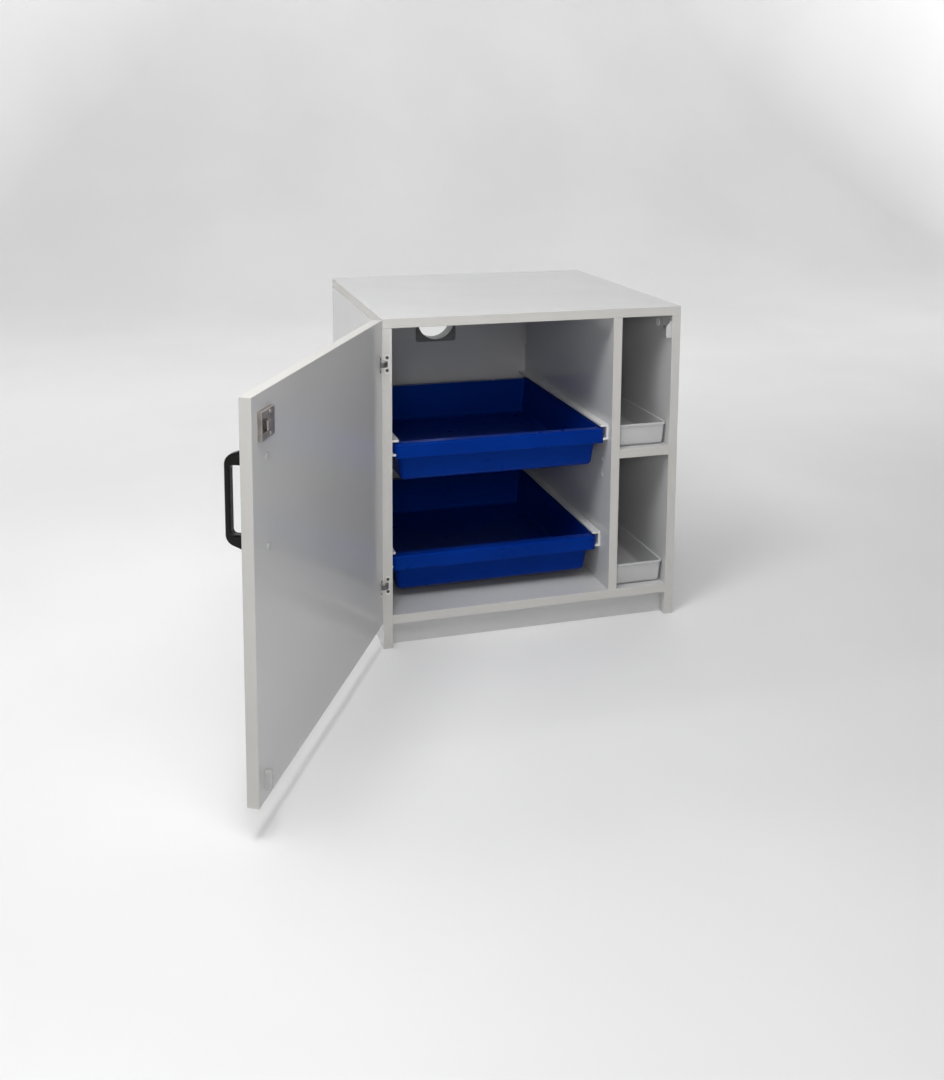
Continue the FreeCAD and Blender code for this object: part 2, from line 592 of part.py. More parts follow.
def bow_handle():
    """Bow handle on the door's outer face: two flared feet and a straight grip."""
    x = DOOR_RIGHT - HANDLE_INSET
    foot = HANDLE_SPACING / 2 + HANDLE_FOOT_HEIGHT / 2
    inner_foot = HANDLE_SPACING / 2 - HANDLE_FOOT_HEIGHT / 2
    reach = HANDLE_PROJECTION
    clear = HANDLE_PROJECTION - HANDLE_GRIP
    outer = foot - HANDLE_FOOT_SLOPE
    inner = inner_foot - HANDLE_INNER_SLOPE
    outline = [(0, -foot), (reach, -outer), (reach, outer), (0, foot), (0, inner_foot), (clear, inner),
               (clear, -inner), (0, -inner_foot), (0, -foot)]
    points = [V(x - HANDLE_WIDTH / 2, DOOR_OUT - out, HANDLE_Z + up) for out, up in outline]
    bow = Part.Face(Part.makePolygon(points)).extrude(X_AXIS * HANDLE_WIDTH)
    for out, radius in ((reach, HANDLE_OUTER_RADIUS), (clear, HANDLE_INNER_RADIUS)):
        bends = [e for e in edges_along(bow, X_AXIS) if abs(e.CenterOfMass.y - (DOOR_OUT - out)) < 1e-4]
        bow = bow.makeFillet(radius, bends)
    sides = (x - HANDLE_WIDTH / 2, x + HANDLE_WIDTH / 2)
    rims = [e for e in bow.Edges if min(abs(e.CenterOfMass.x - s) for s in sides) < 1e-4]
    rims = [e for e in rims if e.BoundBox.YMin < DOOR_OUT - 1e-4]
    bow = bow.makeFillet(HANDLE_EDGE_ROUND, rims)
    screws = []
    caps = []
    for side in (-1, 1):
        seat = V(x, DOOR_IN, HANDLE_Z + side * HANDLE_SPACING / 2)
        screw = pan_screw(seat, -Y_AXIS, HANDLE_SCREW_RADIUS, HANDLE_HEAD_RADIUS, HANDLE_HEAD_THICK,
                          BOARD + HANDLE_SCREW_BITE)
        head_room = rod(HANDLE_HEAD_RADIUS, HANDLE_HEAD_THICK, seat, Y_AXIS)
        caps.append(button(CAP_RADIUS, CAP_HEIGHT, seat, Y_AXIS).cut(head_room))
        screws.append(screw)
    return bow.cut(screws), screws, caps


def rim_lock():
    """Lock on the door's inner face: sheet case, two screws, and the hooked bolt drawn back."""
    half = LOCK_HEIGHT / 2
    left = LOCK_RIGHT - LOCK_WIDTH
    cover = DOOR_IN + LOCK_THICK
    wall = LOCK_WALL
    case = box(left, LOCK_RIGHT, DOOR_IN, cover, LOCK_Z - half, LOCK_Z + half)
    case = case.makeChamfer(LOCK_EDGE_BEVEL, [e for e in case.Edges if abs(e.BoundBox.YMin - cover) < 1e-4])
    hollow = box(left + wall, LOCK_RIGHT - wall, DOOR_IN, cover - wall,
                 LOCK_Z - half + wall, LOCK_Z + half - wall)
    stem_x = HOOK_TIP - HOOK_LENGTH
    hook_low = LOCK_Z - HOOK_HEIGHT / 2
    hook_high = LOCK_Z + HOOK_HEIGHT / 2
    mouth = box(stem_x - BOLT_PLAY, LOCK_RIGHT - LOCK_MOUTH_INSET, cover - wall, cover,
                hook_low - LOCK_MOUTH_PLAY, hook_high + LOCK_MOUTH_PLAY)
    screws = []
    for side in (-1, 1):
        seat = V(LOCK_X, cover, LOCK_Z + side * LOCK_SCREW_OFFSET)
        screws.append(pan_screw(seat, -Y_AXIS, LOCK_SCREW_RADIUS, LOCK_SCREW_HEAD_RADIUS,
                                LOCK_SCREW_HEAD_THICK, LOCK_SCREW_LENGTH))

    bolt_half = BOLT_HEIGHT / 2
    plate = box(LOCK_X - BOLT_TAIL, stem_x + HOOK_STEM, BOLT_FRONT, BOLT_REAR,
                LOCK_Z - bolt_half, LOCK_Z + bolt_half)
    pin_room = DRIVE_PIN_RADIUS + DRIVE_PIN_PLAY
    pin_x = LOCK_X - BOLT_THROW / 2
    pin_low = PLUG_Z + BOLT_THROW / 2
    pin_high = PLUG_Z + PIN_CIRCLE
    track = box(pin_x - pin_room, pin_x + pin_room, BOLT_FRONT, BOLT_REAR,
                pin_low - pin_room, pin_high + pin_room)
    hook_rear = HOOK_FRONT + HOOK_THICK
    stem = box(stem_x, stem_x + HOOK_STEM, BOLT_REAR, hook_rear, hook_low, hook_high)
    hook = box(stem_x, HOOK_TIP, HOOK_FRONT, hook_rear, hook_low, hook_high)
    hook = hook.makeFillet(HOOK_ROUND, [e for e in hook.Edges if e.BoundBox.XMin > HOOK_TIP - 1e-4])
    bolt = plate.cut(track).fuse([stem, hook]).removeSplitter()
    return case.cut([hollow, mouth] + screws), screws, bolt


def lock_cylinder():
    """Cylinder through the door with its rosette outside, and the plug with the pin that drives the bolt."""
    centre = V(LOCK_X, 0, PLUG_Z)
    front = DOOR_OUT - ROSETTE_THICK
    barrel = rod(CYLINDER_RADIUS, DOOR_IN - DOOR_OUT, centre + Y_AXIS * DOOR_OUT, Y_AXIS)
    rosette = button(ROSETTE_RADIUS, ROSETTE_THICK, centre + Y_AXIS * DOOR_OUT, -Y_AXIS)
    bore = rod(PLUG_RADIUS + PLUG_PLAY, DOOR_IN - front, centre + Y_AXIS * front, Y_AXIS)
    plug_front = front - PLUG_PROUD
    plug_rear = BOLT_FRONT - BOLT_PLAY
    plug = rod(PLUG_RADIUS, plug_rear - plug_front, centre + Y_AXIS * plug_front, Y_AXIS)
    slot = box(LOCK_X - KEY_SLOT_WIDTH / 2, LOCK_X + KEY_SLOT_WIDTH / 2,
               plug_front, plug_front + KEY_SLOT_DEPTH,
               PLUG_Z - KEY_SLOT_HEIGHT / 2, PLUG_Z + KEY_SLOT_HEIGHT / 2)
    disc = rod(PIN_CIRCLE + DRIVE_PIN_RADIUS, plug_rear - DOOR_IN, centre + Y_AXIS * DOOR_IN, Y_AXIS)
    pin_centre = centre + V(-BOLT_THROW / 2, plug_rear, BOLT_THROW / 2)
    pin = rod(DRIVE_PIN_RADIUS, BOLT_REAR - plug_rear, pin_centre, Y_AXIS)
    housing = barrel.fuse(rosette).cut(bore).removeSplitter()
    turning = plug.cut(slot).fuse([disc, pin]).removeSplitter()
    return housing, barrel, turning


def strike_angle():
    """Sheet angle on the right side panel: the bolt's hook goes behind its front leg."""
    low = LOCK_Z - STRIKE_HEIGHT / 2
    high = LOCK_Z + STRIKE_HEIGHT / 2
    tip = RIGHT_IN - STRIKE_REACH
    outline = [(RIGHT_IN, low), (RIGHT_IN, high), (tip, high - STRIKE_SLANT), (tip, low), (RIGHT_IN, low)]
    face = Part.Face(Part.makePolygon([V(x, STRIKE_FRONT, z) for x, z in outline]))
    front_leg = face.extrude(Y_AXIS * STRIKE_SHEET)
    tips = [e for e in edges_along(front_leg, Y_AXIS) if abs(e.CenterOfMass.x - tip) < 1e-4]
    front_leg = front_leg.makeFillet(STRIKE_ROUND, tips)
    rear = STRIKE_FRONT + STRIKE_LENGTH
    side_leg = box(RIGHT_IN - STRIKE_SHEET, RIGHT_IN, STRIKE_FRONT, rear, low, high)
    tips = [e for e in edges_along(side_leg, X_AXIS) if abs(e.CenterOfMass.y - rear) < 1e-4]
    side_leg = side_leg.makeFillet(STRIKE_ROUND, tips)
    screws = []
    for number in range(2):
        y = STRIKE_FRONT + STRIKE_SCREW_FIRST + STRIKE_SCREW_PITCH * number
        seat = V(RIGHT_IN - STRIKE_SHEET, y, LOCK_Z)
        screws.append(pan_screw(seat, X_AXIS, SCREW_RADIUS, STRIKE_HEAD_RADIUS, STRIKE_HEAD_THICK,
                                SCREW_LENGTH))
    return front_leg.fuse(side_leg).cut(screws).removeSplitter(), screws


def run_up_block():
    """Block that runs onto the bottom panel as the door closes, and carries the door's free corner."""
    x1 = DOOR_RIGHT - RUNUP_INSET
    x0 = x1 - RUNUP_WIDTH
    foot = BASE_TOP + RUNUP_PLAY
    face = DOOR_IN + RUNUP_THICK
    block = box(x0, x1, DOOR_IN, face, foot, foot + RUNUP_HEIGHT)
    toe = [e for e in edges_along(block, X_AXIS)
           if e.CenterOfMass.y > face - 1e-4 and e.CenterOfMass.z < foot + 1e-4]
    block = block.makeChamfer(RUNUP_RAMP, toe)
    top = [e for e in edges_along(block, Y_AXIS) if e.CenterOfMass.z > foot + RUNUP_HEIGHT - 1e-4]
    block = block.makeFillet(RUNUP_ROUND, top)
    head = V((x0 + x1) / 2, face, foot + RUNUP_HEIGHT / 2)
    screw = countersunk_screw(head, -Y_AXIS, LEAF_SCREW_RADIUS, LEAF_SCREW_HEAD_RADIUS, RUNUP_SCREW_LENGTH)
    return block.cut(screw), screw


def build():
    parts = {}

    # Fittings that are let into the boards
    dowels = carcass_dowels()
    housings, cam_bolts, covers, cam_seats = cam_fittings()
    plugs = partition_plugs()
    spigot, spigot_hub, spigot_screws = duct_spigot()
    strike, strike_screws = strike_angle()
    runner_screws = []
    for level, z, setback in (("upper", UPPER_RUNNER_Z, UPPER_RUNNER_SETBACK),
                              ("lower", LOWER_RUNNER_Z, LOWER_RUNNER_SETBACK)):
        for side, wall_x, opening in (("left", LEFT_IN, 1), ("right", PARTITION_L, -1)):
            channel, screws = runner(wall_x, opening, z, setback)
            parts[f"{level}_{side}_runner"] = channel
            runner_screws += screws
        parts[f"{level}_tray"] = spill_tray(z, setback)
    parts["upper_side_tray"] = side_tray(SHELF_TOP)
    parts["lower_side_tray"] = side_tray(BASE_TOP)

    # Hinges
    carcass_leaf_seats = []
    door_leaf_seats = []
    carcass_leaf_screws = []
    door_leaf_screws = []
    for level, z in HINGE_HEIGHTS.items():
        leaf, screws, seat = hinge_leaf(z)
        parts[f"{level}_hinge_carcass_leaf"] = leaf
        parts[f"{level}_hinge_door_leaf"] = swung(across_door_gap(leaf))
        parts[f"{level}_hinge_arm"] = hinge_arm(z)
        carcass_leaf_seats.append(seat)
        door_leaf_seats.append(across_door_gap(seat))
        carcass_leaf_screws += screws
        door_leaf_screws += [across_door_gap(s) for s in screws]

    # Carcass boards and bands with their seats
    let_in = (dowels + cam_seats + plugs + [spigot_hub] + spigot_screws + strike_screws + runner_screws
              + carcass_leaf_seats)
    for name, board in {**carcass_boards(), **carcass_bands()}.items():
        parts[name] = fitted(board, let_in)
    parts["carcass_dowels"] = Part.makeCompound(dowels)
    parts["cam_housings"] = Part.makeCompound(housings)
    parts["cam_bolts"] = Part.makeCompound(cam_bolts)
    parts["cam_covers"] = Part.makeCompound(covers)
    parts["partition_plugs"] = Part.makeCompound(plugs)
    parts["duct_spigot"] = spigot
    parts["duct_screws"] = Part.makeCompound(spigot_screws)
    parts["strike_angle"] = strike
    parts["strike_screws"] = Part.makeCompound(strike_screws)
    parts["runner_screws"] = Part.makeCompound(runner_screws)
    parts["carcass_hinge_screws"] = Part.makeCompound(carcass_leaf_screws)

    # Door and its fittings
    handle, handle_screws, caps = bow_handle()
    case, case_screws, bolt = rim_lock()
    cylinder, cylinder_barrel, plug = lock_cylinder()
    block, block_screw = run_up_block()
    core, bands = door_panel()
    in_door = door_leaf_seats + handle_screws + case_screws + [cylinder_barrel, block_screw]
    door = {
        "door_panel": fitted(core, in_door),
        "door_edge_bands": Part.makeCompound(bands),
        "door_hinge_screws": Part.makeCompound(door_leaf_screws),
        "door_handle": handle,
        "handle_screws": Part.makeCompound(handle_screws),
        "handle_screw_caps": Part.makeCompound(caps),
        "lock_case": case,
        "lock_case_screws": Part.makeCompound(case_screws),
        "lock_cylinder": cylinder,
        "lock_plug": plug,
        "lock_bolt": bolt,
        "run_up_block": block,
        "run_up_screw": block_screw,
    }
    for name, shape in door.items():
        parts[name] = swung(shape)
    return parts


os.makedirs("parts", exist_ok=True)
for node, shape in build().items():
    shape.exportStep(f"parts/{node}.step")
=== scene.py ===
"""Looks of an open corrosive storage cabinet: white coated board, blue spill trays, black bow handle.

Metres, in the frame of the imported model: +Z up, the front towards -Y, the door hung on the left.
"""
import json
import math

import bmesh
import bpy
from mathutils import Matrix, Vector


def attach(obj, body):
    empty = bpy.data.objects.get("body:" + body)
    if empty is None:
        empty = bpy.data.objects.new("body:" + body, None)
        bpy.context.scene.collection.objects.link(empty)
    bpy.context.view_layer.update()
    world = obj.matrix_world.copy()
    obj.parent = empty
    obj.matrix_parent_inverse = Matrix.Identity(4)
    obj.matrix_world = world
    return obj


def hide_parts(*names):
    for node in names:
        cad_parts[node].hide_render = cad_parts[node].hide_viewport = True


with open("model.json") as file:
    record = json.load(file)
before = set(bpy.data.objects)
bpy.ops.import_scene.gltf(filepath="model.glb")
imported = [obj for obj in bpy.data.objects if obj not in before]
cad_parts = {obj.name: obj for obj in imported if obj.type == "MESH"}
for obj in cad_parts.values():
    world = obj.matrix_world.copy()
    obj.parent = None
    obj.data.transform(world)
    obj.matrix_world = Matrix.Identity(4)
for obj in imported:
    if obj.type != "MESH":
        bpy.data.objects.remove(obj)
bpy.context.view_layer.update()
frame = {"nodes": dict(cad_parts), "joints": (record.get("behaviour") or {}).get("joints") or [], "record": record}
JOINTS = {joint["name"]: joint for joint in frame["joints"]}
SLOTS = {part["node"]: part["material_slot"] for part in frame["record"]["subparts"]}
BODY_OF = {node: body for body, nodes in frame["record"]["behaviour"]["bodies"].items() for node in nodes}
MM = 0.001
X_AXIS = Vector((1, 0, 0))
Y_AXIS = Vector((0, 1, 0))
Z_AXIS = Vector((0, 0, 1))
AT_REST = Matrix.Identity(4)

# Camera of the photograph, in its 944 x 1080 pixels
PHOTO_HEIGHT = 1080
FOCAL_PX = 1142.8
OPTICAL_CENTRE_Y_PX = 270
CAMERA_PLACE = Vector((-0.7185, -2.0465, 0.9988))
CAMERA_YAW = math.radians(16.269)  # to the right of +Y
CAMERA_PITCH = math.radians(7.555)  # downwards
CAMERA_ROLL = math.radians(0.333)
SENSOR = 36.0

# Edges
BAND_ROUND = 0.7 * MM
BAND_SEGMENTS = 3
SOFT_SEGMENTS = 2
ROUND_PROFILE = 0.5  # a plain arc
WELD = 0.002 * MM
SAME_PLANE = 1e-7
FLAT_ANGLE = math.radians(0.5)
SHARP_ANGLE = math.radians(40)
SORT_DIGITS = 6

# Width by which the sharp edges of a node are rounded off
SOFT_EDGES = {
    "lower_hinge_arm": 0.6 * MM,
    "upper_hinge_arm": 0.6 * MM,
    "upper_left_runner": 0.5 * MM,
    "upper_right_runner": 0.5 * MM,
    "lower_left_runner": 0.5 * MM,
    "lower_right_runner": 0.5 * MM,
    "strike_angle": 0.25 * MM,
    "lock_case": 0.25 * MM,
    "lock_bolt": 0.25 * MM,
    "run_up_block": 0.5 * MM,
    "duct_spigot": 0.5 * MM,
    "upper_side_tray": 0.6 * MM,
    "lower_side_tray": 0.6 * MM,
}

# Screws and caps: lengths across are shares of the radius, and lengths along are shares of the head or cap
SMALL_SEGMENTS = 40
RECESS_HALF_WIDTH = 0.2
RECESS_REACH = 0.62
RECESS_TAPER = 0.6
RECESS_DEPTH = 0.9
RECESS_DEPTH_LIMIT = 0.6  # of the radius
LEAST_ACROSS = 1e-6
CROWN = 0.65
CROWN_POWER = 4
HEAD_RINGS = (0.74, 0.84, 0.92, 0.97, 1.0)
PLAIN_SHANK = 0.5
CAP_RIM = 0.55
CAP_RIM_RISE = 0.85
CAP_RIM_STEPS = 6
CAP_FACE = 0.4
CAP_FACE_RISE = 0.985
CAP_STEM = 0.5
LEAST_STEM = 0.1 * MM
LEFT_BAY_MIDDLE = -62.0 * MM

# Studio
FLOOR_REACH = 12.0
SWEEP_START = 3.2
SWEEP_RADIUS = 1.6
SWEEP_STEPS = 12
WALL_TOP = 6.0
GLOW_MIDDLE = (1.2, 2.1, 0.0)  # far from here the floor glows softly
GLOW_START = 3.5
GLOW_FULL = 6.5
GLOW = 0.8
FLOOR_DARK = (0.82, 0.82, 0.82)
FLOOR_LIGHT = (0.86, 0.86, 0.86)
SURROUND_COLOUR = (0.93, 0.95, 0.96, 1.0)
SURROUND_STRENGTH = 0.9

# Board and band colours
BOARD_WHITE = (0.58, 0.58, 0.582)
BAND_WHITE = (0.56, 0.548, 0.525)
BEECH_DARK = (0.42, 0.27, 0.14)
BEECH_LIGHT = (0.60, 0.42, 0.24)

# Metals: dark and light tone and roughness
METALS = {
    "cast_zinc": {"dark": (0.34, 0.34, 0.35), "light": (0.44, 0.44, 0.45), "roughness": 0.5,
                  "brushed": (1.0, 1.0, 1.0)},
    "zinc_steel": {"dark": (0.48, 0.48, 0.47), "light": (0.58, 0.58, 0.57), "roughness": 0.34},
    "nickel_steel": {"dark": (0.62, 0.61, 0.59), "light": (0.72, 0.71, 0.69), "roughness": 0.48},
    "dark_steel": {"dark": (0.03, 0.03, 0.03), "light": (0.06, 0.06, 0.06), "roughness": 0.55},
    "lock_steel": {"dark": (0.37, 0.34, 0.32), "light": (0.46, 0.425, 0.40), "roughness": 0.36},
    "lock_nickel": {"dark": (0.52, 0.51, 0.49), "light": (0.62, 0.61, 0.59), "roughness": 0.24},
    "arm_steel": {"dark": (0.13, 0.13, 0.135), "light": (0.19, 0.19, 0.195), "roughness": 0.5},
    "browned_steel": {"dark": (0.10, 0.10, 0.10), "light": (0.16, 0.16, 0.155), "roughness": 0.5},
    "dulled_steel": {"dark": (0.20, 0.20, 0.20), "light": (0.27, 0.27, 0.27), "roughness": 0.5},
}

# Plastics and the painted steel: dark and light tone and roughness
PLASTICS = {
    "white_plastic": {"dark": (0.68, 0.68, 0.675), "light": (0.74, 0.74, 0.735), "roughness": 0.34},
    "blue_plastic": {"dark": (0.0003, 0.018, 0.185), "light": (0.0004, 0.023, 0.225), "roughness": 0.3,
                     "gloss": 0.3, "gloss_tint": (0.06, 0.3, 1.0)},
    "light_grey_plastic": {"dark": (0.50, 0.50, 0.505), "light": (0.56, 0.56, 0.565), "roughness": 0.42},
    "grey_plastic": {"dark": (0.185, 0.185, 0.187), "light": (0.22, 0.22, 0.222), "roughness": 0.4},
    "black_plastic": {"dark": (0.0025, 0.0025, 0.0025), "light": (0.005, 0.0048, 0.0046), "roughness": 0.3,
                      "gloss": 0.22},
    "white_steel": {"dark": (0.50, 0.50, 0.498), "light": (0.55, 0.55, 0.547), "roughness": 0.3},
    # a darker copy of the white plastic with painted shade, for the caps on the door's shaded inner face
    "door_shade_white_plastic": {"dark": (0.42, 0.42, 0.422), "light": (0.47, 0.47, 0.472), "roughness": 0.3},
    "board_white_plastic": {"dark": (0.54, 0.54, 0.542), "light": (0.59, 0.59, 0.592), "roughness": 0.3},
    "block_plastic": {"dark": (0.48, 0.48, 0.478), "light": (0.53, 0.53, 0.528), "roughness": 0.36},
}

# Nodes that look unlike the rest of their slot
OWN_MATERIAL = {
    "lower_hinge_arm": "arm_steel",
    "upper_hinge_arm": "arm_steel",
    "carcass_hinge_screws": "browned_steel",
    "door_hinge_screws": "browned_steel",
    "duct_screws": "dulled_steel",
    # the caps get the white plastic with painted shade
    "handle_screw_caps": "door_shade_white_plastic",
    "partition_plugs": "board_white_plastic",
    "run_up_block": "block_plastic",
}


class Shader:
    """One material's node tree, with short calls for the nodes that it needs."""

    def __init__(self, name):
        self.material = bpy.data.materials.new(name)
        self.material.use_nodes = True
        self.tree = self.material.node_tree
        self.surface = self.tree.nodes["Principled BSDF"]
        self.place = self.add("ShaderNodeTexCoord").outputs["Object"]

    def add(self, kind, **inputs):
        node = self.tree.nodes.new(kind)
        for name, value in inputs.items():
            self.put(node.inputs[name.replace("_", " ")], value)
        return node

    def put(self, socket, value):
        if isinstance(value, bpy.types.NodeSocket):
            self.tree.links.new(value, socket)
        else:
            socket.default_value = value

    def set(self, **inputs):
        for name, value in inputs.items():
            self.put(self.surface.inputs[name.replace("_", " ")], value)

    def stretched(self, x, y, z):
        """Coordinates that are scaled along each axis, for marks that run one way."""
        return self.add("ShaderNodeMapping", Vector=self.place, Scale=(x, y, z)).outputs["Vector"]

    def noise(self, scale, detail, place=None):
        node = self.add("ShaderNodeTexNoise", Vector=place or self.place, Scale=scale, Detail=detail)
        return node.outputs["Fac"]

    def distance_from(self, point):
        node = self.add("ShaderNodeVectorMath")
        node.operation = "DISTANCE"
        start, end = node.inputs[:2]
        self.put(start, self.place)
        self.put(end, point)
        return node.outputs["Value"]

    def between(self, value, low, high, start=0.3, end=0.7):
        """Value carried over from the range start to end into the range low to high."""
        node = self.add("ShaderNodeMapRange", Value=value, From_Min=start, From_Max=end,
                        To_Min=low, To_Max=high)
        return node.outputs["Result"]

    def tint(self, value, dark, light, spread=0.15):
        """Colour that goes from dark to light over a noise value, spread to both sides of its middle."""
        node = self.add("ShaderNodeValToRGB", Fac=value)
        first, last = node.color_ramp.elements
        first.position = 0.5 - spread
        last.position = 0.5 + spread
        first.color = (*dark, 1.0)
        last.color = (*light, 1.0)
        return node.outputs["Color"]

    def bump(self, height, depth, strength):
        node = self.add("ShaderNodeBump", Height=height, Strength=strength, Distance=depth)
        return node.outputs["Normal"]


def shade(colour, factor):
    return tuple(channel * factor for channel in colour)


def coated_board(name, colour):
    """Melamine-faced board: faint tone drift, fine pearl texture, satin gloss."""
    s = Shader(name)
    drift = s.noise(scale=3.0, detail=3.0)
    pearl = s.noise(scale=260.0, detail=2.0)
    wipe = s.noise(scale=9.0, detail=4.0, place=s.stretched(1.0, 1.0, 0.35))
    s.set(Base_Color=s.tint(drift, dark=shade(colour, 0.965), light=colour, spread=0.14),
          Roughness=s.between(wipe, low=0.13, high=0.16),
          Normal=s.bump(pearl, depth=0.02 * MM, strength=0.2))
    return s.material


def edge_band(name, colour):
    """Plastic band, a little warmer than the board, with a fine scraped grain."""
    s = Shader(name)
    drift = s.noise(scale=5.0, detail=3.0)
    marks = s.noise(scale=420.0, detail=2.0)
    s.set(Base_Color=s.tint(drift, dark=shade(colour, 0.96), light=colour),
          Roughness=s.between(marks, low=0.32, high=0.38),
          Normal=s.bump(marks, depth=0.02 * MM, strength=0.2))
    return s.material


def moulded(name, dark, light, roughness, gloss=0.5, gloss_tint=(1.0, 1.0, 1.0)):
    """Moulded plastic: slow flow streaks in the colour and a fine eroded grain."""
    s = Shader(name)
    flow = s.noise(scale=6.0, detail=4.0, place=s.stretched(1.0, 0.4, 1.6))
    skin = s.noise(scale=300.0, detail=2.0)
    haze = s.noise(scale=34.0, detail=4.0)
    s.set(Base_Color=s.tint(flow, dark=dark, light=light, spread=0.16),
          Roughness=s.between(haze, low=roughness - 0.03, high=roughness + 0.04),
          Specular_IOR_Level=gloss,
          Specular_Tint=(*gloss_tint, 1.0),
          Normal=s.bump(skin, depth=0.025 * MM, strength=0.2))
    return s.material


def metal(name, dark, light, roughness, brushed=(1.0, 1.0, 0.03)):
    """Plated sheet or wire with fine marks one way and slightly uneven plating."""
    s = Shader(name)
    marks = s.noise(scale=2600.0, detail=2.0, place=s.stretched(*brushed))
    cloud = s.noise(scale=70.0, detail=4.0)
    s.set(Base_Color=s.tint(cloud, dark=dark, light=light),
          Metallic=1.0,
          Roughness=s.between(marks, low=roughness - 0.06, high=roughness + 0.08),
          Normal=s.bump(marks, depth=0.02 * MM, strength=0.35))
    return s.material


def beech(name):
    """Dowel wood with close rings along the grain."""
    s = Shader(name)
    rings = s.noise(scale=300.0, detail=4.0, place=s.stretched(1.0, 1.0, 0.1))
    s.set(Base_Color=s.tint(rings, dark=BEECH_DARK, light=BEECH_LIGHT),
          Roughness=0.6,
          Normal=s.bump(rings, depth=0.1 * MM, strength=0.4))
    return s.material


def pale_floor(name):
    """Matt floor that glows softly far from the cabinet."""
    s = Shader(name)
    glow = s.between(s.distance_from(GLOW_MIDDLE), low=0.0, high=GLOW, start=GLOW_START, end=GLOW_FULL)
    s.set(Base_Color=s.tint(s.noise(scale=1.2, detail=3.0), dark=FLOOR_DARK, light=FLOOR_LIGHT),
          Roughness=0.85,
          Emission_Color=(1.0, 1.0, 1.0, 1.0),
          Emission_Strength=glow)
    return s.material


def make_materials():
    """The cabinet's materials by name: one for each slot of the record, and those of single nodes."""
    made = {
        "white_board": coated_board("white_board", BOARD_WHITE),
        "edge_band": edge_band("edge_band", BAND_WHITE),
        "beech_dowel": beech("beech_dowel"),
    }
    for name, look in METALS.items():
        made[name] = metal(name, **look)
    for name, look in PLASTICS.items():
        made[name] = moulded(name, **look)
    return made


MATERIALS = make_materials()


def material_of(node):
    return MATERIALS[OWN_MATERIAL.get(node, SLOTS[node])]


def door_turn():
    """The turn from the closed door to the door as it stands."""
    hinge = JOINTS["door_hinge"]
    centre = Vector(hinge["pos_m"])
    angle = -math.radians(hinge["range_deg"][0])
    swing = Matrix.Rotation(angle, 4, Vector(hinge["axis"]))
    return Matrix.Translation(centre) @ swing @ Matrix.Translation(-centre)


DOOR_TURN = door_turn()


def islands(node, turn=AT_REST):
    """Box of each separate solid in a CAD node, with the piece turned back by turn first."""
    back = turn.inverted()
    mesh = bmesh.new()
    mesh.from_mesh(frame["nodes"][node].data)
    bmesh.ops.remove_doubles(mesh, verts=mesh.verts, dist=WELD)
    waiting = set(mesh.verts)
    boxes = []
    while waiting:
        group = [waiting.pop()]
        for vertex in group:
            for edge in vertex.link_edges:
                other = edge.other_vert(vertex)
                if other in waiting:
                    waiting.remove(other)
                    group.append(other)
        points = [back @ vertex.co for vertex in group]
        low = Vector([min(p[k] for p in points) for k in range(3)])
        high = Vector([max(p[k] for p in points) for k in range(3)])
        boxes.append((low, high))
    mesh.free()
    return sorted(boxes, key=lambda box: tuple(round(c, SORT_DIGITS) for c in box[0]))


def node_box(node, turn=AT_REST):
    """Box of a CAD node with the piece turned back by turn first."""
    boxes = islands(node, turn)
    low = Vector([min(b[0][k] for b in boxes) for k in range(3)])
    high = Vector([max(b[1][k] for b in boxes) for k in range(3)])
    return low, high


def new_piece(suffix, mesh, node):
    """Object from a bmesh that takes the place of a CAD node, on its body and with its material."""
    name = f"{node}_{suffix}"
    data = bpy.data.meshes.new(name)
    mesh.to_mesh(data)
    mesh.free()
    piece = bpy.data.objects.new(name, data)
    bpy.context.scene.collection.objects.link(piece)
    piece.data.materials.append(material_of(node))
    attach(piece, BODY_OF[node])
    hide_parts(node)
    return piece


def smooth(mesh):
    for face in mesh.faces:
        face.smooth = True


def main_axis(direction):
    return max(range(3), key=lambda k: abs(direction[k]))


def add_band(mesh, low, high, outward):
    """A strip whose outer face has rounded edges; outward is the direction that this face looks."""
    made = bmesh.ops.create_cube(mesh, size=1.0)["verts"]
    size = high - low
    for vertex in made:
        vertex.co = (low + high) / 2 + Vector([vertex.co[k] * size[k] for k in range(3)])
    axis = main_axis(outward)
    face_at = high[axis] if outward[axis] > 0 else low[axis]
    edges = {edge for vertex in made for edge in vertex.link_edges
             if all(abs(end.co[axis] - face_at) < SAME_PLANE for end in edge.verts)}
    bmesh.ops.bevel(mesh, geom=list(edges), offset=BAND_ROUND, segments=BAND_SEGMENTS, profile=ROUND_PROFILE,
                    affect="EDGES")


def front_bands():
    """Rounded bands of the carcass boards, in place of the square strips."""
    for node in ("right_side_edge_band", "bottom_edge_band", "partition_edge_band", "shelf_edge_band"):
        mesh = bmesh.new()
        add_band(mesh, *node_box(node), -Y_AXIS)
        new_piece("rounded", mesh, node)
    core_low, core_high = node_box("top_panel")
    low, high = node_box("top_edge_bands")
    mesh = bmesh.new()
    add_band(mesh, low, Vector((high.x, core_low.y, high.z)), -Y_AXIS)
    add_band(mesh, Vector((low.x, core_low.y, low.z)), Vector((core_low.x, high.y, high.z)), -X_AXIS)
    add_band(mesh, Vector((core_high.x, core_low.y, low.z)), high, X_AXIS)
    new_piece("rounded", mesh, "top_edge_bands")


